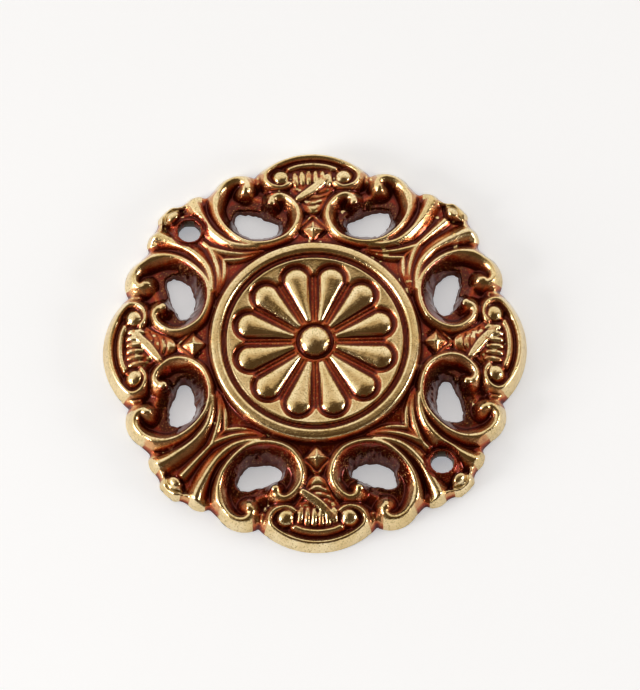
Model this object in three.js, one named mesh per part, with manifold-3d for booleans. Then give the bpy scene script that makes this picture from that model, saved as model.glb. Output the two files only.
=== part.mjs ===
import * as THREE from 'three';
import { mergeVertices } from 'three/addons/utils/BufferGeometryUtils.js';
import Module from 'manifold-3d';

const wasm = await Module();
wasm.setup();

// Sizes in millimetres. The flat back lies on z = 0 and the face looks up.
const ACROSS = 57;
const SIDE_DRAFT = THREE.MathUtils.degToRad(12);

// The relief falls evenly from the medallion's ring to the rim.
const RING_CREST_RADIUS = 13.4;
const RING_CREST_HEIGHT = 4.8;
const CREST_FALL = 0.2;
const RELIEF_DEPTH = 1.2;

// Medallion
const RING_WIDTH = 1.5;
const RING_SHOULDER_DROP = 0.35;
const RING_GROOVE_WIDTH = 0.6;
const RING_GROOVE_DEPTH = 0.75;
const FIELD_DROP = 0.45;
const FIELD_MARGIN = 0.7;
const PETAL_COUNT = 12;
const PETAL_GAP = 0.8;
const PETAL_RISE = 0.9;
const SCALLOP_DEPTH = 0.5;
const SCALLOP_LAND = 0.1;
const VEIN_HALF_WIDTH = 0.2;
const VEIN_RISE = 0.55;
const BOSS_RADIUS = 2.05;
const BOSS_RISE = 1.45;
const BOSS_GAP = 0.85;

// Section of the carved ridges: half widths at the flat crest and at the foot
const RIDGE_CREST = 0.32;
const RIDGE_FOOT = 0.7;
const RIDGE_SINK = 0.3;

// The four-pointed star under each cartouche: from point to point, and its waist as a share of that
const STAR_WIDTH = 2.5;
const STAR_WAIST = 0.5;

// Share by which the piercings widen with each millimetre of height
const PIERCING_FLARE = 0.105;

// Holes for countersunk 3 mm wood screws, one near each end of a diagonal
const SCREW_BORE = 3.2;
const SCREW_SEAT_WIDTH = 0.8;
const SCREW_SEAT_HEIGHT = 2.3;
const SCREW_HEAD_GAP = 0.3;
const SCREW_INSET = 4.85;

const RING_STEPS = 36;
const CONE_STEPS = 16;
const BORE_STEPS = 16;

const rim = ACROSS / 2;
const quarterTurn = Math.PI / 2;
const pitch = 2 * Math.PI / PETAL_COUNT;

const ringOuter = RING_CREST_RADIUS + RING_WIDTH / 2;
const ringInner = RING_CREST_RADIUS - RING_WIDTH / 2;
const fieldEdge = ringInner - RING_GROOVE_WIDTH;
const fieldHeight = RING_CREST_HEIGHT - FIELD_DROP;
const petalFloor = fieldHeight - SCALLOP_DEPTH;
const bossTop = petalFloor + BOSS_RISE;

// Scallops are circles that nearly touch their neighbours and keep a margin to the groove.
const scallopTip = fieldEdge - FIELD_MARGIN;
const scallopShare = Math.sin(pitch / 2);
const scallopRadius = (scallopTip * scallopShare - SCALLOP_LAND / 2) / (1 + scallopShare);
const scallopCentre = scallopTip - scallopRadius;
const petalHalfWidth = scallopRadius - PETAL_GAP;
const petalStart = BOSS_RADIUS + BOSS_GAP;

// Height of the crests and of the sunk ground between them, by distance from the centre.
const crestAt = (radius) => RING_CREST_HEIGHT - CREST_FALL * (radius - RING_CREST_RADIUS);
const groundAt = (radius) => crestAt(radius) - RELIEF_DEPTH;

// The border's ornament lies between the ring and the rim. A point of it is given as the degrees from
// a quarter's middle line and the share of the way from the ring to the rim.
const borderWidth = rim - ringOuter;

function onBorder([degrees, share]) {
  const angle = THREE.MathUtils.degToRad(degrees);
  const radius = ringOuter + share * borderWidth;
  return new THREE.Vector2(radius * Math.sin(angle), radius * Math.cos(angle));
}

const vectors = (points) => points.map(([x, y]) => new THREE.Vector2(x, y));
const curveThrough = (drawn) => new THREE.SplineCurve(drawn.map(onBorder));

// The curve through these points and their mirror images across the middle line, where the first one lies.
function bothSides(drawn) {
  const otherSide = drawn.slice(1).map(([degrees, share]) => [-degrees, share]);
  return curveThrough([...otherSide.reverse(), ...drawn]);
}

function solid(geometry) {
  const bare = geometry.clone();
  bare.deleteAttribute('normal');
  bare.deleteAttribute('uv');
  const merged = mergeVertices(bare, 1e-4);
  const corners = [];
  const index = merged.index.array;
  for (let i = 0; i < index.length; i += 3) {
    const [p, q, r] = index.slice(i, i + 3);
    if (p !== q && q !== r && r !== p) corners.push(p, q, r);
  }
  return new wasm.Manifold(new wasm.Mesh({
    numProp: 3,
    vertProperties: Float32Array.from(merged.attributes.position.array),
    triVerts: Uint32Array.from(corners),
  }));
}

function geometryOf(body) {
  const mesh = body.getMesh();
  const geometry = new THREE.BufferGeometry();
  geometry.setAttribute('position', new THREE.BufferAttribute(Float32Array.from(mesh.vertProperties), 3));
  geometry.setIndex(new THREE.BufferAttribute(Uint32Array.from(mesh.triVerts), 1));
  return geometry;
}

// A moved copy. A mirror image gets its faces turned outward again.
function copyOf(geometry, matrix) {
  const copy = geometry.clone().applyMatrix4(matrix);
  if (matrix.determinant() < 0) {
    const corners = copy.index.array;
    for (let i = 0; i < corners.length; i += 3) {
      [corners[i], corners[i + 1]] = [corners[i + 1], corners[i]];
    }
  }
  return copy;
}

// Moves each vertex of a geometry with place(point), which changes the vector it is given.
function reshape(geometry, place) {
  const position = geometry.attributes.position;
  const point = new THREE.Vector3();
  for (let i = 0; i < position.count; i += 1) {
    place(point.fromBufferAttribute(position, i));
    position.setXYZ(i, point.x, point.y, point.z);
  }
  return geometry;
}

const joined = (bodies) => bodies.reduce((whole, body) => whole.add(body));

// A body copied to each place and joined.
function spread(body, places) {
  const geometry = geometryOf(body);
  return joined(places.map((place) => solid(copyOf(geometry, place))));
}

// A turned body about the middle, from a profile of [radius, height] points.
function turnedBody(profile, steps) {
  return solid(new THREE.LatheGeometry(vectors(profile), steps).rotateX(quarterTurn));
}

// A ridge along a plan curve, its crest at the relief's height plus lift, width times the usual section.
// A sharp one comes to an edge.
function ridge(curve, steps, { width = () => 1, lift = () => 0, sharp = false } = {}) {
  const root = -RELIEF_DEPTH - RIDGE_SINK;
  const top = sharp ? [[0, 0]] : [[RIDGE_CREST, 0], [-RIDGE_CREST, 0]];
  const section = new THREE.Shape(vectors([[-RIDGE_FOOT, root], [RIDGE_FOOT, root], ...top]));
  const bar = new THREE.ExtrudeGeometry(section, { depth: 1, steps, bevelEnabled: false });
  return solid(reshape(bar, (point) => {
    const t = THREE.MathUtils.clamp(point.z, 0, 1);
    const at = curve.getPointAt(t);
    const along = curve.getTangentAt(t);
    const aside = point.x * width(t);
    const height = crestAt(at.length()) + point.y + lift(t);
    point.set(at.x - along.y * aside, at.y + along.x * aside, height);
  }));
}

// A rounded boss: half sizes along and across as shares of the border's width and up as a share of the
// relief's depth, turned in plan, its top above the crests by lift.
function knob(drawn, [along, across, up], { turn = 0, lift = 0 }) {
  const centre = onBorder(drawn);
  const rise = up * RELIEF_DEPTH;
  const ball = new THREE.SphereGeometry(1, 8, 4).rotateX(quarterTurn);
  ball.scale(along * borderWidth, across * borderWidth, rise).rotateZ(turn);
  return solid(ball.translate(centre.x, centre.y, crestAt(centre.length()) + lift - rise));
}

// Outline of the casting in one eighth, from the quarter's middle line to the diagonal: the arch over
// a cartouche, a scroll's lobe, a leaf's tip and half of the corner's tip.
function outlineEighth() {
  const stretches = [
    [[0, 1], [8.2, 0.97], [16.4, 0.87]],
    [[16.4, 0.87], [20.8, 0.92], [25.1, 0.935], [29, 0.9], [32.9, 0.865]],
    [[32.9, 0.865], [34.4, 0.91], [36.6, 0.94], [39.1, 0.935]],
    [[39.1, 0.935], [41, 0.95], [45, 1]],
  ];
  const steps = [3, 4, 2, 2];
  const points = stretches.flatMap((drawn, i) => curveThrough(drawn).getPoints(steps[i]).slice(1));
  return [onBorder([0, 1]), ...points];
}

// The eighth and its mirror image make a quarter, and four turns of that close the outline.
function outline() {
  const eighth = outlineEighth();
  const flipped = eighth.map((point) => new THREE.Vector2(-point.x, point.y)).reverse();
  const quarter = [...flipped.slice(1, -1), ...eighth];
  const corners = [];
  for (let turn = 0; turn < 4; turn += 1) {
    for (const point of quarter) {
      corners.push(point.clone().rotateAround(new THREE.Vector2(), -turn * quarterTurn));
    }
  }
  return corners.filter((point, i) => point.distanceTo(corners.at(i - 1)) > 1e-3);
}

// The cast plate: a low cone cut to the outline, its edge leaning in, with the turned medallion on it.
function plate() {
  const reach = rim + RELIEF_DEPTH;
  const shoulder = RING_CREST_HEIGHT - RING_SHOULDER_DROP;
  const cusps = scallopCentre * Math.cos(pitch / 2) + scallopRadius / 4;
  const root = petalFloor - RELIEF_DEPTH;
  const cone = turnedBody([
    [0, 0],
    [reach, 0],
    [reach, groundAt(reach)],
    [ringOuter, groundAt(ringOuter)],
    [ringInner, root],
    [0, root],
  ], CONE_STEPS);
  const medallion = turnedBody([
    [0, root / 2],
    [ringOuter, root / 2],
    [ringOuter, groundAt(ringOuter)],
    [RING_CREST_RADIUS, RING_CREST_HEIGHT],
    [ringInner, shoulder],
    [ringInner - RING_GROOVE_WIDTH / 2, RING_CREST_HEIGHT - RING_GROOVE_DEPTH],
    [fieldEdge, fieldHeight],
    [cusps, fieldHeight],
    [cusps, petalFloor],
    [0, petalFloor],
  ], RING_STEPS);
  const block = new THREE.ExtrudeGeometry(new THREE.Shape(outline()), {
    depth: bossTop, steps: 1, bevelEnabled: false,
  });
  const lean = Math.tan(SIDE_DRAFT) / rim;
  reshape(block, (point) => {
    const shrink = 1 - lean * point.z;
    point.set(point.x * shrink, point.y * shrink, point.z);
  });
  return cone.intersect(solid(block)).add(medallion);
}

// What is sunk round each petal: a scallop that opens to the middle.
function scallops() {
  const cutters = [];
  for (let i = 0; i < PETAL_COUNT; i += 1) {
    const cup = new THREE.CylinderGeometry(scallopRadius, scallopRadius, 2 * SCALLOP_DEPTH, 8);
    cup.rotateX(quarterTurn).translate(scallopCentre, 0, petalFloor + SCALLOP_DEPTH);
    cutters.push(solid(cup.rotateZ((i + 0.5) * pitch)));
  }
  return joined(cutters);
}

// The teardrop petals with a fine vein between each two, and the boss in the middle.
function flower() {
  const half = new THREE.Path();
  half.moveTo(0, petalStart);
  half.lineTo(petalHalfWidth, scallopCentre);
  half.absarc(0, scallopCentre, petalHalfWidth, 0, quarterTurn, false);
  const petal = new THREE.LatheGeometry(half.getPoints(1), 6);
  petal.scale(1, 1, PETAL_RISE / petalHalfWidth);
  petal.rotateZ(-quarterTurn).translate(0, 0, petalFloor);

  const blade = new THREE.Shape(vectors([
    [-2 * VEIN_HALF_WIDTH, petalFloor - VEIN_RISE],
    [2 * VEIN_HALF_WIDTH, petalFloor - VEIN_RISE],
    [0, petalFloor + VEIN_RISE],
  ]));
  const veinLength = scallopCentre - BOSS_RADIUS + scallopRadius / 3;
  const vein = new THREE.ExtrudeGeometry(blade, { depth: veinLength, bevelEnabled: false });
  vein.translate(0, 0, BOSS_RADIUS).rotateX(quarterTurn).rotateZ(quarterTurn);

  const bodies = [];
  for (let i = 0; i < PETAL_COUNT; i += 1) {
    bodies.push(solid(petal.clone().rotateZ((i + 0.5) * pitch)));
    bodies.push(solid(vein.clone().rotateZ(i * pitch)));
  }
  const boss = new THREE.SphereGeometry(BOSS_RADIUS, 12, 6).rotateX(quarterTurn);
  bodies.push(solid(boss.scale(1, 1, BOSS_RISE / BOSS_RADIUS).translate(0, 0, petalFloor)));
  return joined(bodies);
}

// The carving that comes eight times: one eighth of the border, right of a quarter's middle line.
function eighthCarving() {
  const scroll = curveThrough([
    [16, 0.48], [13.4, 0.55], [10.3, 0.54], [7.6, 0.46], [6, 0.34], [7.8, 0.2], [13.7, 0.1],
    [23.6, 0.095], [32, 0.22], [35, 0.435], [33.9, 0.65], [30.6, 0.795], [26.3, 0.855], [21.9, 0.845],
    [20.4, 0.755], [22.1, 0.7],
  ]);
  const leaf = curveThrough([[33.7, 0.195], [38.3, 0.41], [39, 0.61], [38.3, 0.79], [37.4, 0.91]]);
  const innerRib = curveThrough([[32.4, 0.08], [38.4, 0.18], [42.3, 0.36], [44.6, 0.49]]);
  return joined([
    ridge(scroll, 14, { width: (t) => 1 + 0.5 * Math.abs(2 * t - 1) ** 8 }),
    ridge(leaf, 4, { width: (t) => 1 + 0.6 * t, lift: () => -0.1 }),
    ridge(innerRib, 2, { width: () => 0.7, lift: () => -0.35, sharp: true }),
    knob([9.8, 0.73], [0.09, 0.08, 0.95], { lift: 0.3 }),
  ]);
}

// A star of four points at a place on a quarter's middle line.
function star(drawn) {
  const centre = onBorder(drawn);
  const reach = STAR_WIDTH / 2;
  const bodies = [[1, STAR_WAIST], [STAR_WAIST, 1]].map(([across, along]) => {
    const spike = new THREE.ConeGeometry(reach, RELIEF_DEPTH, 4).rotateX(quarterTurn).scale(across, along, 1);
    return solid(spike.translate(0, centre.y, groundAt(centre.y) + RELIEF_DEPTH / 4));
  });
  return joined(bodies);
}

// The carving that comes four times, on a quarter's middle line: the fanned cartouche and its star.
function quarterCarving() {
  const roll = bothSides([
    [0, 0.935], [4.6, 0.925], [9.1, 0.89], [12.8, 0.84], [14.5, 0.77], [13.4, 0.67], [10.4, 0.635],
    [7.5, 0.675],
  ]);
  const innerArc = bothSides([[0, 0.835], [4, 0.825], [7.4, 0.8]]);
  const bodies = [
    ridge(roll, 14, { width: (t) => 0.8 + 0.35 * Math.sin(Math.PI * t) }),
    ridge(innerArc, 4, { width: () => 0.85 }),
    knob([0, 0.44], [0.115, 0.14, 0.7], { lift: -0.4 }),
    star([0, 0.146]),
  ];
  for (const degrees of [-4.9, -3, -1, 1, 3, 4.9]) {
    const pearl = curveThrough([[degrees, 0.62], [1.1 * degrees, 0.765]]);
    bodies.push(ridge(pearl, 1, { width: () => 0.5, lift: () => -0.3, sharp: true }));
  }
  for (const drawn of [[[0, 0.37], [3.5, 0.405]], [[0, 0.49], [4.7, 0.545]]]) {
    bodies.push(ridge(bothSides(drawn), 2, { width: () => 0.6, lift: () => -0.25, sharp: true }));
  }
  return joined(bodies);
}

// The bead on each diagonal, between two leaves.
const cornerBead = () => knob([45, 0.925], [0.11, 0.06, 0.85], { turn: -quarterTurn / 2, lift: 0.35 });

// The plain band that ties each cartouche.
function tieBand() {
  return ridge(curveThrough([[-5.2, 0.475], [0.5, 0.58], [4.9, 0.71]]), 2, { lift: () => 0.1 });
}

// The piercing inside each scroll: bean-shaped at the back and wider towards the face.
function piercing() {
  const bean = curveThrough([
    [14.6, 0.28], [17.8, 0.22], [24.2, 0.235], [29.4, 0.335], [30.3, 0.465], [29, 0.535], [25.5, 0.54],
    [20.8, 0.465], [16.8, 0.37], [14.6, 0.28],
  ]);
  const corners = bean.getSpacedPoints(11).slice(0, -1);
  const centre = new THREE.Vector2();
  for (const corner of corners) centre.addScaledVector(corner, 1 / corners.length);
  const cutter = new THREE.ExtrudeGeometry(new THREE.Shape(corners), {
    depth: 2 * bossTop, steps: 1, bevelEnabled: false,
  });
  cutter.translate(0, 0, -bossTop);
  return solid(reshape(cutter, (point) => {
    const grow = 1 + PIERCING_FLARE * point.z;
    point.set(centre.x + (point.x - centre.x) * grow, centre.y + (point.y - centre.y) * grow, point.z);
  }));
}

// A screw hole on the upper left diagonal: the land its screw head seats on, what is cleared round and
// above that, and the bore.
function screwHole() {
  const centre = (rim - SCREW_INSET) * Math.SQRT1_2;
  const seat = SCREW_BORE + 2 * SCREW_SEAT_WIDTH;
  const drum = (diameter, from, to) => {
    const cylinder = new THREE.CylinderGeometry(diameter / 2, diameter / 2, to - from, BORE_STEPS);
    return solid(cylinder.rotateX(quarterTurn).translate(-centre, centre, (from + to) / 2));
  };
  return {
    land: drum(seat, groundAt(rim), SCREW_SEAT_HEIGHT),
    clearance: drum(seat + 2 * SCREW_HEAD_GAP, SCREW_SEAT_HEIGHT - SCREW_HEAD_GAP, bossTop),
    bore: drum(SCREW_BORE, -bossTop, bossTop),
  };
}

const turned = (turns) => new THREE.Matrix4().makeRotationZ(turns * quarterTurn);
const mirrored = new THREE.Matrix4().makeScale(-1, 1, 1);
const quarters = [0, 1, 2, 3].map(turned);
const eighths = quarters.flatMap((turn) => [turn, turn.clone().multiply(mirrored)]);

function rosette() {
  const hole = screwHole();
  const bothEnds = [turned(0), turned(2)];
  const bandPlaces = [turned(0), turned(1), turned(2).multiply(mirrored), turned(3).multiply(mirrored)];
  return plate()
    .subtract(scallops())
    .add(flower())
    .subtract(spread(piercing(), eighths))
    .add(spread(eighthCarving(), eighths))
    .add(spread(quarterCarving(), quarters))
    .add(spread(cornerBead(), quarters))
    .add(spread(tieBand(), bandPlaces))
    .subtract(spread(hole.clearance, bothEnds))
    .add(spread(hole.land, bothEnds))
    .subtract(spread(hole.bore, bothEnds));
}

const brass = new THREE.MeshStandardMaterial({ color: 0xb08d57, roughness: 0.3, metalness: 1 });
brass.name = 'antique_brass';
const casting = geometryOf(rosette());
casting.computeVertexNormals();
const mesh = new THREE.Mesh(casting, brass);
mesh.name = 'rosette';
const object = new THREE.Group();
object.name = 'brass_rosette';
object.add(mesh);

export default object;
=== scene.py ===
import math

import bmesh
import bpy
import numpy as np
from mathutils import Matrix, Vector


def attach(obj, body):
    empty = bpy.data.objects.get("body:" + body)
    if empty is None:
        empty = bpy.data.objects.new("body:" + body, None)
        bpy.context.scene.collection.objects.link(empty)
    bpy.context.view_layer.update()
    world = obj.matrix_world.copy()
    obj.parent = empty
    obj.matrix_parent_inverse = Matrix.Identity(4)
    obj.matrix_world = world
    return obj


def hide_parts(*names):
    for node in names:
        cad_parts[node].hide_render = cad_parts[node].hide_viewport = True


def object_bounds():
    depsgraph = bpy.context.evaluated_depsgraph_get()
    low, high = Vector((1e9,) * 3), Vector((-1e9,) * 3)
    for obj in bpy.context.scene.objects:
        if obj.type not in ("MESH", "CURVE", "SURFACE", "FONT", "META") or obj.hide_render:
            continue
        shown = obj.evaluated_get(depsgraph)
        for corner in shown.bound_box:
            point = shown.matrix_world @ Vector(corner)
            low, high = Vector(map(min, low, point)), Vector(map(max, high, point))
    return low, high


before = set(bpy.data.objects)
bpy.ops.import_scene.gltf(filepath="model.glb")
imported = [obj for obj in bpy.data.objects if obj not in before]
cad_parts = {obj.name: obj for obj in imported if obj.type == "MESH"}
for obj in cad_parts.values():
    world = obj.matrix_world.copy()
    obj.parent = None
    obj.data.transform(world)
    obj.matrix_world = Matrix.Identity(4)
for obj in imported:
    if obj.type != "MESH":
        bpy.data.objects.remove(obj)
cad_low, cad_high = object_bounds()

# The relief is worked out in millimetres, like the drawing it follows, and placed in metres.
MM = 0.001
RIM = (cad_high[0] - cad_low[0]) / 2 / MM
RING_CREST_RADIUS = 13.4
RING_CREST_HEIGHT = 4.8
CREST_FALL = 0.2
GROUND_DROP = 1.25
OUTER_WALL_SLOPE = 2.6
PIERCING_WALL_SLOPE = 3.0
NET_STEP = 0.06
MESH_STEP = 0.153
# More than any height or distance in the relief.
FAR = 9.0

# The medallion.
PETAL_PITCH = math.pi / 6
PETAL_START, PETAL_END = 3.15, 9.0
PETAL_THIN, PETAL_THICK = 0.3, 1.78
HOLLOW_FLOOR = 3.85
HOLLOW_CENTRE, HOLLOW_RADIUS = 9.05, 2.27
FIELD_HEIGHT = 4.4
FIELD_RADIUS = 12.0
BOSS_RADIUS = 2.12
BOSS_HEIGHT = 1.45
MEDALLION_RADIUS = 13.6

# The screw holes.
BORE_RADIUS = 1.6
BORE_CENTRE = (-16.7, 16.7)
SEAT_HEIGHT = 2.35
SEAT_RADIUS = 2.15

# Plan lines of the border in one eighth: (aside, outward) from a quarter's middle line and from the centre.
SCROLL = [(5.6, 20.6), (5.4, 21.1), (5.0, 21.45), (4.35, 21.6), (3.5, 21.25), (2.75, 20.55), (2.15, 19.6),
          (1.95, 18.5), (2.1, 17.5), (2.6, 16.4), (3.7, 15.15), (5.6, 14.35), (7.6, 14.2), (9.4, 14.7),
          (11.0, 15.9), (12.2, 17.35), (12.95, 18.9), (13.2, 20.5), (12.9, 22.2), (12.1, 23.5), (10.9, 24.3),
          (9.8, 24.35), (9.0, 23.8), (8.8, 23.1), (9.1, 22.5)]
LEAF = [(7.6, 13.9), (9.4, 13.95), (11.2, 14.45), (12.7, 15.5), (14.0, 17.0), (15.1, 18.7), (15.9, 20.2),
        (16.45, 21.6)]
ROLL = [(0, 27.75), (2.2, 27.5), (4.3, 26.7), (5.8, 25.6), (6.35, 24.7), (6.2, 23.8), (5.5, 23.1),
        (4.5, 22.85), (3.6, 23.0), (3.05, 23.4)]
COLLAR = [(0, 26.15), (1.8, 25.95), (2.8, 25.6), (3.3, 25.35)]
PIERCING = [(4.55, 17.4), (5.2, 16.55), (6.6, 16.1), (8.2, 16.1), (9.6, 16.7), (10.4, 17.8), (10.65, 18.9),
            (10.2, 19.7), (9.0, 19.75), (7.6, 19.5), (6.4, 19.0), (5.3, 18.5), (4.7, 18.1)]
TIE_BAND = [(-1.9, 20.9), (0.2, 22.45), (2.1, 24.25)]
FAN_BODY = [(0, 18.65), (0.9, 19.0), (1.5, 20.0), (2.15, 21.2), (3.1, 22.4)]
HOOK_END = (5.6, 20.4)
LOBE_END = (9.1, 22.8)
SADDLE = (7.1, 22.9)
VOLUTE = (4.25, 24.2)
CORNER_BUTTON = (18.9, 18.9)
STAR_CENTRE = 16.25
STAR_ASIDE, STAR_OUTWARD = 1.25, 1.15
DIAMOND_HALF = 1.65
PEARLS_ASIDE = (0.46, 1.38, 2.28)
PEARL_HALF = 0.46


def crest_at(radius):
    """Height of the ornament's crests: the relief falls evenly from the ring to the rim."""
    return RING_CREST_HEIGHT - CREST_FALL * (radius - RING_CREST_RADIUS)


def smooth_curve(points, per_span=10):
    """A curve through the points, as a close line of points."""
    p = np.array(points, float)
    p = np.vstack([2 * p[0] - p[1], p, 2 * p[-1] - p[-2]])
    t = np.linspace(0, 1, per_span, endpoint=False)[:, None]
    spans = []
    for a, b, c, d in zip(p, p[1:], p[2:], p[3:]):
        cubic = (3 * b - a - 3 * c + d) * t**3 + (2 * a - 5 * b + 4 * c - d) * t**2 + (c - a) * t + 2 * b
        spans.append(cubic / 2)
    return np.vstack(spans + [p[-2][None]])


def both_sides(points):
    """The points and their mirror images across the middle line, where the first one lies."""
    return [(-x, y) for x, y in points[:0:-1]] + list(points)


def arc(centre, radius, start, end, count):
    """Points on an arc, between two angles in degrees."""
    angles = np.radians(np.linspace(start, end, count))
    return [(centre[0] + radius * math.cos(a), centre[1] + radius * math.sin(a)) for a in angles]


def smooth_max(a, b, k):
    """The larger of two fields, rounded over k where they cross."""
    h = np.clip(0.5 + 0.5 * (a - b) / k, 0, 1)
    return b + (a - b) * h + k * h * (1 - h)


def smooth_min(a, b, k):
    """The smaller of two fields, rounded over k where they cross."""
    return -smooth_max(-a, -b, k)


def soft_step(value, low, high):
    """Rises smoothly from nought at low to one at high."""
    t = np.clip((value - low) / (high - low), 0, 1)
    return t * t * (3 - 2 * t)


def bell(value, width):
    """One where the value is nought, falling off evenly to both sides."""
    return np.exp(-(value / width)**2)


def flat_bell(value, width):
    """Like bell, with a flatter top."""
    return np.exp(-(value / width)**4)


def blur(field, sigma):
    """Gaussian blur, sigma in steps of the net."""
    reach = max(1, int(3 * sigma))
    weights = np.exp(-0.5 * (np.arange(-reach, reach + 1) / sigma)**2)
    weights /= weights.sum()
    padded = np.pad(field, reach, mode="edge")
    rows = sum(w * padded[i:i + field.shape[0], :] for i, w in enumerate(weights))
    return sum(w * rows[:, i:i + field.shape[1]] for i, w in enumerate(weights))


def unevenness(x, y, size, seed):
    """Smooth random field between about -1 and 1, whose lumps are size millimetres across."""
    rng = np.random.default_rng(seed)
    count = int(2 * (RIM + 4) / size) + 3
    knots = rng.uniform(-1, 1, (count, count))
    fx, fy = (x + RIM + 3) / size, (y + RIM + 3) / size
    ix, iy = fx.astype(int), fy.astype(int)
    tx, ty = soft_step(fx - ix, 0, 1), soft_step(fy - iy, 0, 1)
    low = knots[iy, ix] * (1 - tx) + knots[iy, ix + 1] * tx
    high = knots[iy + 1, ix] * (1 - tx) + knots[iy + 1, ix + 1] * tx
    return low * (1 - ty) + high * ty


def span_lengths(line):
    """Lengths of the spans of a line of points, never quite nought."""
    return np.maximum(np.hypot(*np.diff(line, axis=0).T), 1e-9)


def along_line(x, y, line):
    """Each point's distance to a line of points, its nearest span's number and its share along that span."""
    nearest = np.full(x.shape, np.inf)
    number, share = np.zeros(x.shape, int), np.zeros(x.shape)
    lengths = span_lengths(line)
    for i, (a, b) in enumerate(zip(line, line[1:])):
        d = b - a
        t = np.clip(((x - a[0]) * d[0] + (y - a[1]) * d[1]) / lengths[i]**2, 0, 1)
        distance = np.hypot(x - a[0] - t * d[0], y - a[1] - t * d[1])
        closer = distance < nearest
        nearest = np.where(closer, distance, nearest)
        number = np.where(closer, i, number)
        share = np.where(closer, t, share)
    return nearest, number, share


class Net:
    """A square net of points, with a height for each, relative to the relief's crests."""

    def __init__(self, low, high, step):
        self.low, self.step = low, step
        self.x, self.y = np.meshgrid(np.arange(low[0], high[0] + step, step),
                                     np.arange(low[1], high[1] + step, step))
        self.rel = np.full(self.x.shape, -GROUND_DROP)

    def near(self, line, reach):
        """Window of the net within reach of a line, with each point's distance to it and place along it."""
        low, high = line.min(0) - reach, line.max(0) + reach
        rows = (self.y[:, 0] >= low[1]) & (self.y[:, 0] <= high[1])
        columns = (self.x[0] >= low[0]) & (self.x[0] <= high[0])
        window = np.ix_(rows, columns)
        nearest, number, share = along_line(self.x[window], self.y[window], line)
        lengths = span_lengths(line)
        start = np.concatenate([[0], np.cumsum(lengths)])
        return window, nearest, (start[number] + share * lengths[number]) / start[-1]

    def raise_to(self, where, height, blend):
        """Raises the net to a height where that is higher, with a rounded joint."""
        self.rel = smooth_max(self.rel, np.where(where, height, -FAR), blend)

    def ridge(self, points, width, lift=0.0, slope=1.6, reach=1.8, blend=0.12):
        """Raises a rounded ridge; width is about half its crest, lift its height over the usual crests."""
        window, d, t = self.near(smooth_curve(points), reach)
        w = width(t) if callable(width) else width
        top = lift(t) if callable(lift) else lift
        shape = np.where(d < reach, top - slope * (np.sqrt(d * d + w * w) - w), -FAR)
        self.rel[window] = smooth_max(self.rel[window], shape, blend)

    def groove(self, points, width, depth, fade=0.0):
        """Cuts a groove that may fade out over a share of its length at each end."""
        window, d, t = self.near(smooth_curve(points), 3 * width)
        ends = np.clip(t / fade, 0, 1) * np.clip((1 - t) / fade, 0, 1) if fade else 1
        self.rel[window] -= depth * ends * bell(d, width)

    def bead(self, centre, half_long, half_short, turn, top, drop, flat=1.0):
        """Raises an oval bead; a larger flat gives it a flatter top and steeper sides."""
        c, s = math.cos(turn), math.sin(turn)
        dx, dy = self.x - centre[0], self.y - centre[1]
        share = ((dx * c + dy * s) / half_long)**2 + ((dy * c - dx * s) / half_short)**2
        ball = top - drop + drop * np.sqrt(np.clip(1 - share**flat, 0, 1))
        self.rel = np.where(share < 1, smooth_max(self.rel, ball, 0.08), self.rel)

    def inside(self, outline):
        """Whether each point lies inside a closed outline."""
        hit = np.zeros(self.x.shape, bool)
        for (ax, ay), (bx, by) in zip(outline, np.roll(outline, -1, 0)):
            if ay != by:
                crosses = (ay > self.y) != (by > self.y)
                hit ^= crosses & (self.x < (bx - ax) * (self.y - ay) / (by - ay) + ax)
        return hit

    def depth_inside(self, outline, reach):
        """Distance to a closed outline, positive inside it, held within reach."""
        window, d, _ = self.near(np.vstack([outline, outline[:1]]), reach)
        distance = np.full(self.x.shape, reach)
        distance[window] = np.minimum(d, reach)
        return np.where(self.inside(outline), distance, -distance)

    def sample(self, field, x, y):
        """Value of a field of the net at any points."""
        fx = np.clip((x - self.low[0]) / self.step, 0, field.shape[1] - 1.001)
        fy = np.clip((y - self.low[1]) / self.step, 0, field.shape[0] - 1.001)
        ix, iy = fx.astype(int), fy.astype(int)
        tx, ty = fx - ix, fy - iy
        low = field[iy, ix] * (1 - tx) + field[iy, ix + 1] * tx
        high = field[iy + 1, ix] * (1 - tx) + field[iy + 1, ix + 1] * tx
        return low * (1 - ty) + high * ty


def outline_of_eighth():
    """The casting's outline at the back: cartouche arch, scroll lobe, leaf tip and half the corner's tip."""
    notch = (7.5, 25.5)
    chord = RIM - notch[1]
    arch = (chord**2 + notch[0]**2) / (2 * chord)
    arch_end = math.degrees(math.atan2(notch[1] - RIM + arch, notch[0]))
    points = arc((0, RIM - arch), arch, 90, arch_end, 16)
    points += arc((9.7, 21.5), 4.0, 117, 32, 16)
    corner = RIM * math.sqrt(0.5)
    tips = [(13.3, 23.35), (14.4, 22.3), (15.3, 22.5), (16.5, 22.2), (17.4, 21.4), (18.2, 21.0),
            (19.2, 20.95), (corner, corner)]
    return points + [tuple(p) for p in smooth_curve(tips, 6)]


def scroll_width(t):
    """About half the scroll's crest, at a place along it: wider at both ends and round the lobe."""
    return 0.2 + 0.3 * bell(t, 0.05) + 0.4 * flat_bell(t - 0.84, 0.11) + 0.3 * bell(1 - t, 0.04)


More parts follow.
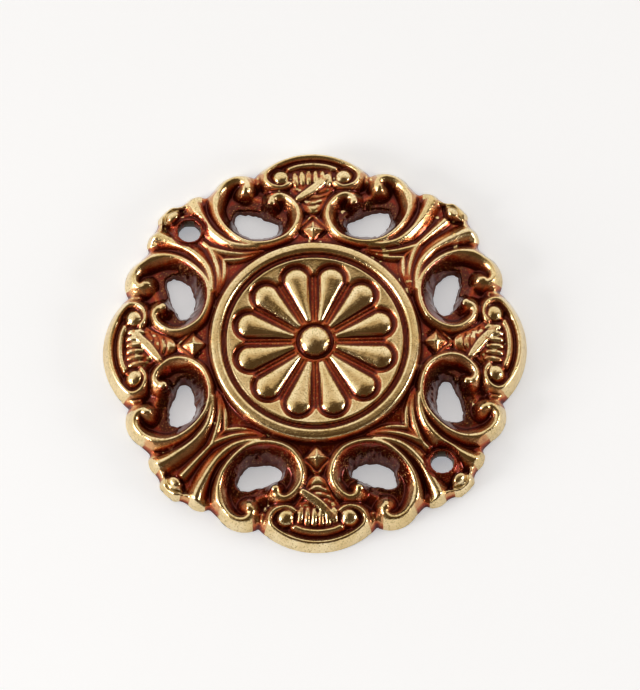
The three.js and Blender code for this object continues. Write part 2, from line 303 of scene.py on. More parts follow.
def carve_scroll(net):
    """The scroll, sunk inside, with a bead at its hook and its lobe, and a saddle towards the cartouche."""
    sunk = net.depth_inside(smooth_curve(SCROLL), 2.0)
    net.rel = np.where(sunk > 0, net.rel - 0.75 * soft_step(sunk, 0.2, 1.6), net.rel)
    net.rel -= 0.6 * np.exp(-(((net.x - SADDLE[0]) / 1.3)**2 + ((net.y - SADDLE[1]) / 1.7)**2))
    net.ridge(SCROLL, scroll_width, lambda t: 0.08 * bell(1 - t, 0.1))
    net.bead(HOOK_END, 0.92, 0.84, 0.7, 0.16, 1.5)
    net.bead(LOBE_END, 0.8, 0.68, 1.2, 0.22, 1.5)


def carve_leaf(net):
    """The leaf that widens to its tip, with ribs between it, the ring and the diagonal."""
    net.ridge(LEAF, lambda t: 0.22 + 0.45 * t**3, lambda t: -0.05 - 0.12 * (1 - t)**2, slope=1.4)
    ring_rib = [(7.2, 12.75), (9.8, 12.1), (12.1, 12.1)]
    net.ridge(ring_rib, 0.12, lambda t: -0.66 - 0.3 * (1 - t)**2, slope=1.2)
    middle_rib = [(6.9, 13.15), (9.0, 12.85), (10.9, 13.0), (12.5, 13.4), (13.9, 13.9)]
    net.ridge(middle_rib, 0.16, lambda t: -0.42 - 0.45 * (1 - t)**2, slope=1.2)
    diagonal_rib = [(12.1, 12.1), (14.5, 14.5), (17.9, 17.9)]
    net.ridge(diagonal_rib, lambda t: 0.1 + 0.2 * t**2, lambda t: -0.5 - 0.3 * (1 - t)**4, slope=1.3)
    shoulder = [(10.6, 13.75), (12.6, 14.8), (14.2, 16.4), (15.4, 18.3), (16.3, 20.1)]
    net.ridge(shoulder, 0.35, lambda t: -0.5 - 0.3 * (1 - t)**2, slope=1.0)
    net.ridge([(17.5, 20.9), (18.5, 20.45), (19.3, 20.2), (19.75, 19.75)], 0.2, -0.3)
    net.groove([(12.4, 15.9), (13.5, 17.3), (14.2, 19.0), (14.35, 20.6), (14.1, 22.0)], 0.13, 0.35, fade=0.15)


def carve_corner(net):
    """The oval button on the diagonal, on a low cushion with grooves round it."""
    net.bead((19.4, 19.4), 2.1, 1.2, -math.pi / 4, -0.35, 0.9)
    net.groove([(17.7, 20.1), (18.0, 19.0), (18.25, 18.25)], 0.16, 0.45)
    net.groove([(17.9, 20.2), (18.9, 19.95), (19.6, 19.6)], 0.2, 0.5)
    net.bead(CORNER_BUTTON, 1.05, 0.72, -math.pi / 4, 0.16, 0.9, flat=1.5)


def carve_cartouche(net):
    """The rolled edge, the collar inside it, and a round volute on a cushion at each end."""
    net.ridge(both_sides(ROLL), lambda t: 0.2 + 0.29 * flat_bell(t - 0.5, 0.23), 0.08, slope=1.7)
    net.ridge(both_sides(COLLAR), 0.42, -0.02, slope=2.3)
    net.bead((4.5, 24.3), 2.0, 1.6, -0.2, -0.45, 0.5, flat=2.0)
    net.bead(VOLUTE, 1.25, 1.2, 0, 0.36, 1.3, flat=1.15)
    net.groove(arc(VOLUTE, 1.42, 75, 215, 8), 0.13, 0.45, fade=0.1)
    round_volute = [(4.2, 26.15), (5.05, 25.6), (5.72, 24.9), (5.66, 24.1), (5.0, 23.35), (4.2, 23.05),
                    (3.6, 23.25)]
    net.groove(round_volute, 0.12, 0.3, fade=0.12)


def carve_fan(net):
    """The raised body of the fan, with pearls along its outer edge and cross cuts below them."""
    half_width = 0.75 * (net.y - 18.2).clip(0.4, FAR)
    shell = -0.42 - 0.35 * np.abs(net.x / half_width)**2.5 - 0.4 * np.clip(19.6 - net.y, 0, FAR)**2
    net.raise_to((net.y < 25.4) & (net.y > 18.5) & (np.abs(net.x) < 3.2), shell, 0.05)
    for aside in PEARLS_ASIDE:
        for side in (1, -1):
            net.bead((side * (aside - 0.02), 24.2 - 0.06 * aside**2), 1.2, PEARL_HALF,
                     math.pi / 2 - 0.06 * side * aside, -0.02, 0.48, flat=1.2)
            gap = side * (aside - PEARL_HALF)
            net.groove([(gap, 23.2), (gap, 25.3)], 0.09, 0.15)
    net.groove([(-1.1, 20.25), (-0.4, 19.9), (0.4, 19.9), (1.1, 20.25)], 0.13, 0.28)
    net.groove([(-1.7, 21.3), (-0.5, 20.8), (0.6, 20.8), (1.7, 21.2)], 0.13, 0.24)
    net.groove([(0.1, 21.9), (1.1, 21.6), (2.1, 22.1)], 0.13, 0.24)
    net.groove(both_sides(FAN_BODY), 0.12, 0.35)
    inner_edge = [(0.93 * aside, 0.15 + outward) for aside, outward in FAN_BODY]
    net.ridge(both_sides(inner_edge), 0.08, -0.62, slope=2.0, reach=0.5)


def star_share(aside, outward):
    """One at the middle of the four-pointed star and nought on its edge."""
    return 1 - (np.abs(aside) / STAR_ASIDE)**0.5 - (np.abs(outward - STAR_CENTRE) / STAR_OUTWARD)**0.5


def carve_star(net):
    """The star on its low diamond, under a small gable."""
    net.groove(both_sides([(0, 17.95), (0.85, 17.1), (1.72, 16.25), (0.95, 15.3)]), 0.2, 0.3)
    net.ridge(both_sides([(0, 18.3), (1.05, 17.3), (2.1, 16.2)]), 0.1, -0.78, reach=0.6)
    diamond = 1 - (np.abs(net.x) + np.abs(net.y - STAR_CENTRE)) / DIAMOND_HALF
    net.raise_to(diamond > 0, -0.95 + 0.5 * diamond, 0.04)
    star = star_share(net.x, net.y)
    net.raise_to(star > -0.2, -0.6 + 0.65 * star, 0.04)


def carve_border(net):
    """Heights of the border's ornament in one eighth."""
    for carve in (carve_scroll, carve_leaf, carve_corner, carve_cartouche, carve_fan, carve_star):
        carve(net)
    # two small folds between the cartouche and the lobe
    for aside in (7.3, 7.95):
        net.ridge([(aside, 23.6), (aside + 0.15, 25.3)], 0.14, -0.72, slope=1.4)
    return crest_at(np.hypot(net.x, net.y)) + net.rel


def from_petal_line(x, y):
    """Radius, and the angle to the middle line of the nearest petal."""
    return np.hypot(x, y), (np.arctan2(x, y) % PETAL_PITCH) - PETAL_PITCH / 2


def petal_place(x, y):
    """Place along the nearest petal, and across it: nought on its middle line and one at its edge."""
    r, off = from_petal_line(x, y)
    s = np.clip((r * np.cos(off) - PETAL_START) / (PETAL_END - PETAL_START), 0, 1)
    from_middle = np.hypot(r * np.cos(off) - (PETAL_START + s * (PETAL_END - PETAL_START)), r * np.sin(off))
    return s, from_middle / (PETAL_THIN + (PETAL_THICK - PETAL_THIN) * s)


def carve_field_and_ring(r):
    """Heights of the flat field, the two fine grooves at its edge and the ring."""
    height = FIELD_HEIGHT + 0.06 * (r - 11)
    height += 0.1 * bell(r - 11.7, 0.12)
    height -= 0.5 * bell(r - 11.98, 0.13) + 0.55 * bell(r - 12.36, 0.14)
    ring = 4.88 - 0.14 * (r - 12.9)
    ring -= 2.4 * np.clip(13.0 - r, 0, FAR)**2
    ring -= 2.6 * np.clip(r - 13.72, 0, FAR)**1.5
    height = np.where(r > 12.4, smooth_max(height - 0.1, ring, 0.06), height)
    return np.where(r > 13.5, ring, height)


def carve_medallion(x, y):
    """Heights of the ring, the petals and the boss."""
    r, off = from_petal_line(x, y)
    along, across = r * np.cos(off), r * np.abs(np.sin(off))
    height = carve_field_and_ring(r)
    # hollow round each petal, dished up to a fine cut at its edge
    edge_line = r * np.sin(PETAL_PITCH / 2 - np.abs(off))
    round_edge = HOLLOW_RADIUS - np.hypot(along - HOLLOW_CENTRE, across)
    room = np.where((along < HOLLOW_CENTRE) & (r < 9.45), edge_line, round_edge)
    rise = 0.5 - 0.28 * soft_step(9.8 - r, 0, 0.8)
    hollow = HOLLOW_FLOOR + rise * np.clip(1 - room / 0.6, 0, 1)**1.7
    height = np.where(room > 0, hollow, height)
    # the petal's teardrop, and the cuts between the hollows and round their ends
    s, q = petal_place(x, y)
    petal = HOLLOW_FLOOR - 0.15 + (0.5 + 0.55 * s) * np.sqrt(np.clip(1 - q**2.1, 0, 1))
    height = np.where(q < 1, np.maximum(height, petal), height)
    cut = np.where(r < 9.6, edge_line, FAR)
    height -= 0.3 * bell(cut, 0.12) * soft_step(r, 2.7, 3.2)
    rim_cut = np.where(along > HOLLOW_CENTRE - 0.6, np.abs(round_edge), FAR)
    height -= 0.25 * bell(rim_cut, 0.1) * (r > 9.3)
    # the boss in its moat
    height = np.where(r < 2.7, HOLLOW_FLOOR - 0.15 + 0.3 * soft_step(r, 2.3, 2.75), height)
    boss = HOLLOW_FLOOR + BOSS_HEIGHT * np.sqrt(np.clip(1 - (r / BOSS_RADIUS)**2, 0, 1))
    return np.where(r < BOSS_RADIUS, np.maximum(boss, HOLLOW_FLOOR - 0.1), height)


class Face:
    """Points of the casting's face, with their heights and the distances that the finish depends on."""

    def __init__(self, x, y, step):
        self.x, self.y, self.step = x, y, step
        self.r = np.hypot(x, y)
        self.aside, self.outward = np.minimum(np.abs(x), np.abs(y)), np.maximum(np.abs(x), np.abs(y))
        self.from_bore = np.minimum(np.hypot(x - BORE_CENTRE[0], y - BORE_CENTRE[1]),
                                    np.hypot(x + BORE_CENTRE[0], y + BORE_CENTRE[1]))
        self.in_bore = self.from_bore < BORE_RADIUS - 1e-6
        self.carve()

    def carve(self):
        """Heights of the face, and how far each point lies inside the outline and outside a piercing."""
        net = Net((-1.0, 9.0), (21.5, RIM + 1.5), NET_STEP)
        border = net.sample(blur(carve_border(net), 1.2), self.aside, self.outward)
        eighth = outline_of_eighth()
        outline = [(-px, py) for px, py in eighth[:0:-1]] + eighth + [(py, px) for px, py in eighth[-2::-1]]
        depth = net.depth_inside(np.array(outline + [(0, 0)]), 3.0)
        self.in_outline = np.where(self.outward < 12, 3.0, net.sample(depth, self.aside, self.outward))
        depth = net.depth_inside(smooth_curve(PIERCING + PIERCING[:1], 6), 3.0)
        self.from_piercing = -net.sample(depth, self.aside, self.outward)

        middle = Net((-15.0, -15.0), (15.0, 15.0), NET_STEP)
        medallion = middle.sample(blur(carve_medallion(middle.x, middle.y), 1.2), self.x, self.y)
        medallion = np.where(self.r < 14.9, medallion, -FAR)
        border = np.where(self.r < MEDALLION_RADIUS, -FAR, border)
        self.height = np.where(self.r < MEDALLION_RADIUS, medallion, smooth_max(medallion, border, 0.06))
        self.add_tie_bands()
        self.cut_walls()
        self.cut_screw_holes()

    def add_tie_bands(self):
        """The slanting bands across the fans, which turn one way in each pair of neighbours."""
        x, y = self.x, self.y
        band = smooth_curve(TIE_BAND, 6)
        for across, out in ((x, y), (x, -y), (y, x), (y, -x)):
            here = (out > 19) & (np.abs(across) < 5)
            distance, place = np.full(x.shape, FAR), np.zeros(x.shape)
            distance[here], number, share = along_line(across[here], out[here], band)
            place[here] = (number + share) / (len(band) - 1)
            half = 0.3 + 0.17 * np.sin(math.pi * place)
            top = crest_at(self.r) + 0.05 - 2.6 * np.clip(distance - half, 0, FAR)
            self.height = np.where(distance < 1.3, smooth_max(self.height, top, 0.08), self.height)

    def cut_walls(self):
        """The outer edge and the piercings, which are a little uneven as cast."""
        self.height = smooth_min(self.height, OUTER_WALL_SLOPE * self.in_outline, 0.7)
        ragged = self.from_piercing + 0.12 + 0.15 * self.uneven(0.9, 3) + 0.1 * self.uneven(0.35, 4)
        self.height = smooth_min(self.height, PIERCING_WALL_SLOPE * ragged, 0.3)

    def cut_screw_holes(self):
        """The two bores, each with its seat and a crescent hollow on the far side of the seat."""
        d = self.from_bore
        height = smooth_min(self.height, SEAT_HEIGHT + 2.8 * np.clip(d - SEAT_RADIUS, -FAR, FAR), 0.1)
        height = smooth_max(height, SEAT_HEIGHT - 1.3 * np.clip(d - 1.9, 0, FAR), 0.15)
        farness = (self.y - np.sign(self.y) * BORE_CENTRE[1]) / np.maximum(d, 0.1)
        height -= 0.6 * bell(d - SEAT_RADIUS, 0.3) * np.clip(farness, 0, 1)
        self.height = np.where(self.in_bore, -FAR, height)

    def near_place(self, place, radius, fade):
        """One near a place of the eighth, falling to nought at a radius from it."""
        return soft_step(radius - np.hypot(self.aside - place[0], self.outward - place[1]), 0, fade)

    def uneven(self, size, seed):
        return unevenness(self.x, self.y, size, seed)


def gilt_on_medallion(face, gilt):
    """Bright petals, boss, field and ring, and lacquer in the hollows."""
    field = soft_step(face.r, 2.9, 3.2) * soft_step(FIELD_RADIUS - face.r, 0, 0.15)
    gilt = np.maximum(gilt, field * soft_step(face.height, 4.28, 4.36))
    gilt = np.maximum(gilt, soft_step(face.r, 12.55, 12.7) * soft_step(14.05 - face.r, 0, 0.15))
    _, q = petal_place(face.x, face.y)
    hollows = (face.r < 11.3) & (face.height < 4.28)
    gilt = np.where(hollows, soft_step(0.94 - q, 0, 0.12) * (face.r > 3), gilt)
    return np.where(face.r < 3, soft_step(BOSS_RADIUS - 0.06 - face.r, 0, 0.2), gilt)


def gilt_on_border(face, gilt, fine):
    """Bright stars, volutes and corner buttons, and mottled pearls."""
    on_diamond = face.aside + np.abs(face.outward - STAR_CENTRE) < DIAMOND_HALF + 0.05
    gilt = np.where(on_diamond, soft_step(star_share(face.aside, face.outward), -0.02, 0.08), gilt)
    gilt = np.maximum(gilt, face.near_place(VOLUTE, 1.12, 0.2) * (fine > -0.05))
    pearls = (face.outward > 22.9) & (face.outward < 25.4) & (face.aside < 2.75)
    mottled = 0.62 + 0.5 * face.uneven(0.45, 11)
    under_crest = crest_at(face.r) - face.height
    gilt = np.where(pearls, mottled * soft_step(0.5 - under_crest, 0, 0.2), gilt)
    return np.maximum(gilt, face.near_place(CORNER_BUTTON, 0.8, 0.2) * (fine > -0.02))


def gilt_on_walls(face, gilt):
    """The outer wall is bright on the lobes and dark in the notches; bores and piercings are dark."""
    gilt = gilt * soft_step(face.from_bore, 2.4, 2.7)
    rounding = 1.1
    crowding = blur((face.in_outline > 0).astype(float), rounding / face.step)
    notch = crowding - 0.5 * (1 + np.tanh(0.8 * face.in_outline / rounding))
    wall = soft_step(1.5 - face.in_outline, 0, 0.5) * (face.r > 24.5)
    gilt = gilt * (1 - wall) + wall * np.maximum(gilt, 1 - soft_step(notch, -0.01, 0.07))
    return gilt * np.maximum(soft_step(face.from_piercing, 0.4, 1.1), face.near_place(HOOK_END, 1.0, 0.3))


def gilt_in_patches(face, gilt, fine):
    """The fans' bodies are worn in patches, and so are a few other places of the border."""
    body = (1 - soft_step(face.aside - 0.6 * (face.outward - 18.1), -0.4, -0.1))
    body *= soft_step(face.outward, 18.8, 19.2) * soft_step(22.9 - face.outward, 0, 0.3)
    gilt = np.maximum(gilt, (0.42 + 0.7 * face.uneven(0.42, 8)) * body * (fine > -0.06))
    worn = 0.6 * soft_step(face.uneven(0.5, 9) * face.uneven(2.3, 10), 0.25, 0.5)
    return np.maximum(gilt, worn * (face.from_piercing > 1.2) * (face.r > 14.3) * (face.from_bore > 2.4))


def shades_of(face):
    """Where the lacquer is rubbed off to bright brass, how deep it pools elsewhere, and the painted shade
    towards the piercings and in the creases.
    """
    relief = np.maximum(face.height, -0.5)
    fine = relief - blur(relief, 0.34 / face.step)
    broad = relief - blur(relief, 0.9 / face.step)
    slope = np.hypot(*np.gradient(relief, face.step))
    gilt = soft_step(fine + 0.3 * broad, 0.05, 0.18) * (1 - soft_step(slope, 0.7, 1.25))
    gilt = gilt_on_medallion(face, gilt)
    gilt = gilt_on_border(face, gilt, fine)
    gilt = gilt_on_walls(face, gilt)
    gilt = gilt_in_patches(face, gilt, fine)
    pool_and_shade = np.maximum(soft_step(-broad, -0.22, 0.4), soft_step(3.0 - face.from_bore, 0, 0.6))
    # painted shade: the lacquer darkens towards the piercings, standing in for the shade in the scroll bowls
    pool_and_shade = np.maximum(pool_and_shade, 1.5 * soft_step(2.2 - face.from_piercing, 0, 1.1))
    # painted shade in the creases, on top of the lacquer that pools in them
    crease = np.where(face.r < 12.5, soft_step(-fine, 0.01, 0.1), soft_step(-fine, 0.03, 0.14))
    rough_wall = (1 - soft_step(face.height, 0.2, 0.9)) * soft_step(1.2 - face.from_piercing, 0, 0.5)
    return {"gilt": gilt, "pool_and_shade": pool_and_shade, "crease": crease, "rough_wall": rough_wall,
            "bare_bore": face.in_bore.astype(float)}


def square_grid():
    """Points of a square grid over the casting; those beside a screw hole move onto its round edge."""
    half = RIM + 0.6
    count = int(2 * half / MESH_STEP)
    step = 2 * half / count
    x, y = np.meshgrid(*[np.linspace(-half, half, count + 1)] * 2)
    for side in (1, -1):
        dx, dy = x - side * BORE_CENTRE[0], y - side * BORE_CENTRE[1]
        d = np.hypot(dx, dy)
        snap = np.abs(d - BORE_RADIUS) < 0.6 * step
        scale = np.where(snap, BORE_RADIUS / np.maximum(d, 1e-6), 1)
        x, y = side * BORE_CENTRE[0] + dx * scale, side * BORE_CENTRE[1] + dy * scale
    return x, y, half, count, step


def close_back(bm, plain_back):
    """Cuts the mesh off at the back, fills the cut flat and marks its faces as the plain back."""
    sunk = [v for v in bm.verts if v.co.z < 0 and all(e.other_vert(v).co.z < 0 for e in v.link_edges)]
    bmesh.ops.delete(bm, geom=sunk, context="VERTS")
    everything = bm.verts[:] + bm.edges[:] + bm.faces[:]
    bmesh.ops.bisect_plane(bm, geom=everything, plane_co=(0, 0, 0), plane_no=(0, 0, -1), clear_outer=True,
                           dist=1e-7)
    for face in bm.faces:
        face.smooth = True
    edge = [e for e in bm.edges if e.is_boundary]
    for e in edge:
        for v in e.verts:
            v.co.z = 0
    back = bmesh.ops.triangle_fill(bm, edges=edge, use_beauty=True, normal=(0, 0, -1))["geom"]
    for face in back:
        if isinstance(face, bmesh.types.BMFace):
            face[plain_back] = 1
    bmesh.ops.recalc_face_normals(bm, faces=bm.faces[:])
    for e in edge:
        e.smooth = False


def build_casting():
    """The whole casting as one closed mesh, with the shades of its finish on its points."""
    x, y, half, count, step = square_grid()
    face = Face(x, y, step)
    shades = shades_of(face)
    grain = 0.006 * face.uneven(0.3, 5) + 0.02 * face.uneven(1.4, 6)
    height = np.where(face.height > 0.3, face.height + grain, face.height)

    bm = bmesh.new()
    bmesh.ops.create_grid(bm, x_segments=count, y_segments=count, size=half * MM)
    plain_back = bm.faces.layers.float.new("plain_back")
    layers = [(bm.verts.layers.float.new(name), shade) for name, shade in shades.items()]
    for vert in bm.verts:
        i = round((vert.co.x / MM + half) / step)
        j = round((vert.co.y / MM + half) / step)
        vert.co = (x[j, i] * MM, y[j, i] * MM, max(height[j, i], -1.5) * MM)
        for layer, shade in layers:
            vert[layer] = shade[j, i]
    close_back(bm, plain_back)
    mesh = bpy.data.meshes.new("rosette_casting")
    bm.to_mesh(mesh)
    bm.free()
    casting = bpy.data.objects.new("rosette_casting", mesh)
    bpy.context.collection.objects.link(casting)
    return casting


class Nodes:
    """Short names for making and joining the shader nodes of a material or world."""

    def __init__(self, owner):
        owner.use_nodes = True
        self.tree = owner.node_tree

    def named(self, name):
        return self.tree.nodes[name]

    def new(self, kind, **settings):
        node = self.tree.nodes.new(kind)
        for name, value in settings.items():
            if name in node.inputs:
                node.inputs[name].default_value = value
            else:
                setattr(node, name, value)
        return node

    def join(self, source, node, socket):
        self.tree.links.new(source, node.inputs[socket])
        return node

    def attribute(self, name):
        return self.new("ShaderNodeAttribute", attribute_name=name).outputs["Fac"]

    def place(self):
        return self.new("ShaderNodeTexCoord").outputs["Object"]

    def noise(self, place, scale, detail=3, roughness=0.5):
        node = self.new("ShaderNodeTexNoise", Scale=scale, Detail=detail, Roughness=roughness)
        self.join(place, node, "Vector")
        return node.outputs["Fac"]

    def math(self, operation, a, b=None, clamp=False):
        node = self.new("ShaderNodeMath", operation=operation, use_clamp=clamp)
        for i, value in enumerate((a, b)):
            if value is None:
                continue
            if isinstance(value, (int, float)):
                node.inputs[i].default_value = value
            else:
                self.tree.links.new(value, node.inputs[i])
        return node.outputs[0]

    def add(self, a, b):
        return self.math("ADD", a, b)

    def times(self, a, b):
        return self.math("MULTIPLY", a, b)

    def spread(self, noise, amount):
        """A noise made even about nought, times an amount."""
        return self.times(self.math("SUBTRACT", noise, 0.5), amount)

    def range(self, value, from_low, from_high, to_low=0.0, to_high=1.0):
        node = self.new("ShaderNodeMapRange")
        node.interpolation_type = "SMOOTHSTEP"
        limits = {"From Min": from_low, "From Max": from_high, "To Min": to_low, "To Max": to_high}
        for name, number in limits.items():
            node.inputs[name].default_value = number
        self.join(value, node, "Value")
        return node.outputs["Result"]

    def mix(self, factor, a, b):
        node = self.new("ShaderNodeMix", data_type="RGBA")
        self.tree.links.new(factor, node.inputs["Factor"])
        for socket, value in ((node.inputs[6], a), (node.inputs[7], b)):
            if isinstance(value, tuple):
                socket.default_value = (*value, 1)
            else:
                self.tree.links.new(value, socket)
        return node.outputs[2]


LACQUER_THIN, LACQUER_MIDDLE, LACQUER_THICK = (0.66, 0.34, 0.14), (0.46, 0.08, 0.014), (0.24, 0.016, 0.003)
# painted shade: a near-black red for the lacquer towards the piercings, where the scroll bowls lie in shade
LACQUER_SHADED_BY_PIERCING = (0.085, 0.012, 0.005)
# pooled lacquer and painted shade: nearly black in the creases
LACQUER_AND_SHADE_IN_CREASE = (0.09, 0.007, 0.002)
LACQUER_RUBBED = (0.82, 0.45, 0.15)
BRASS_PALE, BRASS_DEEP = (0.93, 0.76, 0.46), (0.78, 0.59, 0.29)
BRASS_SPECK, BRASS_BLOTCH = (0.44, 0.31, 0.10), (0.46, 0.32, 0.11)
ROUGH_WALL_DARK, ROUGH_WALL_LIGHT = (0.10, 0.018, 0.008), (0.19, 0.06, 0.03)
BORE_METAL = (0.24, 0.22, 0.18)
BACK_LIGHT, BACK_DARK = (0.42, 0.29, 0.13), (0.26, 0.14, 0.06)


def lacquer_colour(n, on_face, blotches, specks, clouds):
    """Orange where it is thin and dark red where it pools; painted shade makes it darker still towards the
    piercings and nearly black in the creases, where it also pools.
    """
    pool_and_shade = n.add(n.times(n.attribute("pool_and_shade"), on_face), n.spread(clouds, 0.9))
    colour = n.mix(n.range(pool_and_shade, 0.0, 0.5), LACQUER_THIN, LACQUER_MIDDLE)
    colour = n.mix(n.range(pool_and_shade, 0.4, 1.0), colour, LACQUER_THICK)
    # painted shade towards the piercings
    colour = n.mix(n.range(pool_and_shade, 0.9, 1.6), colour, LACQUER_SHADED_BY_PIERCING)
    colour = n.mix(n.range(blotches, 0.48, 0.7, 0.0, 0.6), colour, LACQUER_THICK)
    colour = n.mix(n.range(specks, 0.57, 0.7, 0.0, 0.55), colour, LACQUER_RUBBED)
    # the creases: pooled lacquer and painted shade, nearly black
    return n.mix(n.times(n.attribute("crease"), on_face), colour, LACQUER_AND_SHADE_IN_CREASE)


def brass_colour(n, blotches, specks, clouds):
    colour = n.mix(n.range(clouds, 0.3, 0.7), BRASS_PALE, BRASS_DEEP)
    colour = n.mix(n.range(specks, 0.53, 0.74), colour, BRASS_SPECK)
    return n.mix(n.range(blotches, 0.5, 0.72, 0.0, 0.4), colour, BRASS_BLOTCH)


def antique_brass():
    """Bright brass on the worn high places, over red-brown lacquer that pools in the hollows."""
    material = bpy.data.materials.new("antique_brass")
    n = Nodes(material)
    principled = n.named("Principled BSDF")
    place = n.place()
    blotches = n.noise(place, 1500, 4, 0.6)
    specks = n.noise(place, 5200, 2, 0.5)
    clouds = n.noise(place, 260, 3, 0.5)

    # the back is plain, and takes none of the face's shades
    plain_back = n.attribute("plain_back")
    on_face = n.math("SUBTRACT", 1.0, plain_back)
    gilt = n.add(n.times(n.attribute("gilt"), on_face), n.spread(blotches, 0.5))
    gilt = n.range(gilt, 0.36, 0.6)
    rough_wall = n.range(n.add(n.attribute("rough_wall"), n.spread(blotches, 0.6)), 0.35, 0.65)
    rough_wall = n.times(rough_wall, on_face)
    bare_bore = n.times(n.range(n.attribute("bare_bore"), 0.06, 0.16), on_face)

    lacquer = lacquer_colour(n, on_face, blotches, specks, clouds)
    colour = n.mix(gilt, lacquer, brass_colour(n, blotches, specks, clouds))
    colour = n.mix(rough_wall, colour, n.mix(blotches, ROUGH_WALL_DARK, ROUGH_WALL_LIGHT))
    colour = n.mix(bare_bore, colour, BORE_METAL)
    colour = n.mix(plain_back, colour, n.mix(n.range(clouds, 0.35, 0.7), BACK_LIGHT, BACK_DARK))
    n.join(colour, principled, "Base Color")

    dull = n.math("MAXIMUM", rough_wall, bare_bore)
    metallic = n.math("SUBTRACT", n.range(gilt, 0.0, 1.0, 0.75, 1.0), n.times(dull, 0.7), clamp=True)
    n.join(metallic, principled, "Metallic")
    roughness = n.add(n.times(gilt, 0.02), n.range(specks, 0.3, 0.8, 0.13, 0.26))
    duller = n.add(n.times(dull, 0.35), n.times(plain_back, 0.2))
    n.join(n.add(roughness, duller), principled, "Roughness")
    coat = n.math("SUBTRACT", n.range(gilt, 0.0, 1.0, 0.28, 0.05), dull, clamp=True)
    n.join(coat, principled, "Coat Weight")
    principled.inputs["Specular IOR Level"].default_value = 0.2
    principled.inputs["Coat Roughness"].default_value = 0.06
    principled.inputs["Coat IOR"].default_value = 1.5

    bump = n.new("ShaderNodeBump", Strength=0.22, Distance=0.00005)
    uneven = n.add(specks, n.times(blotches, 1.1))
    n.join(n.add(uneven, n.range(specks, 0.56, 0.7, 0.0, 1.2)), bump, "Height")
    n.join(bump.outputs["Normal"], principled, "Normal")
    return material


def pale_table():
    """Pale from above, and clear from below so that the rosette's plain back can be seen through it."""
    material = bpy.data.materials.new("pale_table")
    n = Nodes(material)
    principled = n.named("Principled BSDF")
    colour = n.mix(n.noise(n.place(), 40, 2), (0.86, 0.86, 0.86), (0.88, 0.88, 0.885))
    n.join(colour, principled, "Base Color")
    principled.inputs["Roughness"].default_value = 0.7
    principled.inputs["Emission Color"].default_value = (0.84, 0.91, 1, 1)
    principled.inputs["Emission Strength"].default_value = 0.375
    seen_from = n.join(n.new("ShaderNodeNewGeometry").outputs["Backfacing"], n.new("ShaderNodeMixShader"), 0)
    n.join(principled.outputs[0], seen_from, 1)
    n.join(n.new("ShaderNodeBsdfTransparent").outputs[0], seen_from, 2)
    n.join(seen_from.outputs[0], n.named("Material Output"), "Surface")
    return material


def make_table():
    """A flat table, a hair under the casting's back so that the two flat faces don't fight."""
    half, top = 1.0, -0.00002
    corners = [(x, y, top) for x, y in ((-half, -half), (half, -half), (half, half), (-half, half))]
    mesh = bpy.data.meshes.new("table")
    mesh.from_pydata(corners, [], [(0, 1, 2, 3)])
    mesh.materials.append(pale_table())
    table = bpy.data.objects.new("table", mesh)
    bpy.context.collection.objects.link(table)
    return table


def towards(azimuth, elevation):
    """Direction at that many degrees from the +Y side towards +X, and above the table."""
    a, e = math.radians(azimuth), math.radians(elevation)
    return Vector((math.sin(a) * math.cos(e), math.cos(a) * math.cos(e), math.sin(e)))


def soft_box(name, direction, size, power):
    """A rectangular light that looks at the rosette from 0.6 m away."""
    light = bpy.data.lights.new(name, "AREA")
    light.shape = "RECTANGLE"
    light.size, light.size_y = size
    light.energy = power
    lamp = bpy.data.objects.new(name, light)
    lamp.location = direction * 0.6
    lamp.rotation_euler = (-direction).to_track_quat("-Z", "Y").to_euler()
    bpy.context.collection.objects.link(lamp)


# The photo looks down on the rosette from its lower side, turned a little against it.
CAMERA_ELEVATION = 70.2
CAMERA_TURN = 0.9
FOCAL_LENGTH = 300.0
SENSOR = 36.0
PHOTO_SIZE = (640, 690)
CENTRE_PIXEL = (314.9, 351.2)
PIXELS_ACROSS = 424.0


def place_camera():
    """A long lens at the photo's angle, with the rosette at the photo's place and size in the picture."""
    pixel = 2 * RIM * MM / PIXELS_ACROSS
    distance = FOCAL_LENGTH / SENSOR * PHOTO_SIZE[1] * pixel
    back = towards(180 + CAMERA_TURN, CAMERA_ELEVATION)
    right = Vector((0, 0, 1)).cross(back).normalized()
    up = back.cross(right)
    aim = right * (PHOTO_SIZE[0] / 2 - CENTRE_PIXEL[0]) * pixel
    aim += up * (CENTRE_PIXEL[1] - PHOTO_SIZE[1] / 2) * pixel
    camera = bpy.data.cameras.new("camera")
    camera.lens = FOCAL_LENGTH
    camera.sensor_width = SENSOR
    camera.clip_start, camera.clip_end = 0.05, 10
    holder = bpy.data.objects.new("camera", camera)
    holder.location = aim + back * distance
    holder.rotation_euler = back.to_track_quat("Z", "Y").to_euler()
    bpy.context.collection.objects.link(holder)
    bpy.context.scene.camera = holder


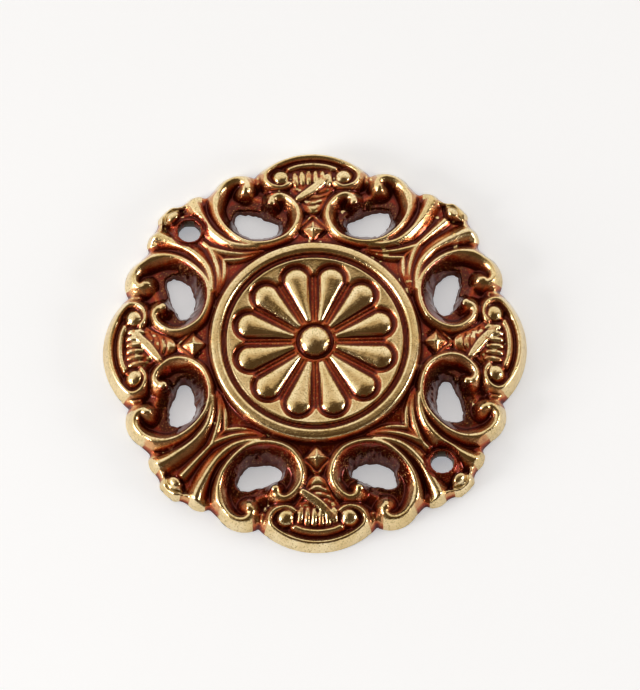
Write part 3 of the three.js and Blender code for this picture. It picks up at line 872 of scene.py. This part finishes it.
ROOM_DARK, ROOM_WARM, ROOM_BRIGHT = (0.070, 0.042, 0.020), (0.50, 0.38, 0.23), (0.86, 0.84, 0.80)
# How brightly the room glows by height, from level (0) to straight up (1).
GLOW_BY_HEIGHT = ((0.5, 1.0), (0.77, 0.8), (0.93, 0.52), (0.955, 0.34), (0.975, 0.1), (1.0, 0.05))


def light_room():
    """A studio that is bright round the far side and dark overhead and on the camera's side."""
    world = bpy.data.worlds.new("studio")
    bpy.context.scene.world = world
    n = Nodes(world)
    direction = n.new("ShaderNodeTexCoord").outputs["Generated"]
    parts = n.join(direction, n.new("ShaderNodeSeparateXYZ"), 0).outputs
    far_x, far_y, _ = towards(-25, 0)
    along = n.add(n.times(parts["X"], far_x), n.times(parts["Y"], far_y))
    level = n.math("MAXIMUM", n.math("SUBTRACT", 1.0, n.times(parts["Z"], parts["Z"])), 1e-4)
    far_side = n.range(n.math("DIVIDE", along, n.math("SQRT", level)), -0.35, 0.2)
    ramp = n.new("ShaderNodeValToRGB")
    stops = ramp.color_ramp.elements
    stops.remove(stops[1])
    stops[0].position = GLOW_BY_HEIGHT[0][0]
    for position, _ in GLOW_BY_HEIGHT[1:]:
        stops.new(position)
    for stop, (_, glow) in zip(stops, GLOW_BY_HEIGHT):
        stop.color = (glow, glow, glow, 1)
    glow = n.times(far_side, n.join(parts["Z"], ramp, "Fac").outputs["Color"])
    colour = n.mix(n.range(glow, 0.0, 0.55), ROOM_DARK, ROOM_WARM)
    colour = n.mix(n.range(glow, 0.35, 1.0), colour, ROOM_BRIGHT)
    n.join(colour, n.named("Background"), "Color")
    n.named("Background").inputs["Strength"].default_value = 1.2
    soft_box("soft_box_left", towards(-108, 14), (0.24, 0.16), 2.4)
    soft_box("soft_box_right", towards(100, 12), (0.20, 0.13), 1.4)


casting = build_casting()
casting.data.materials.append(antique_brass())
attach(casting, "root")
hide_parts("rosette")

table = make_table()

place_camera()
light_room()
bpy.context.scene.view_settings.view_transform = "Standard"
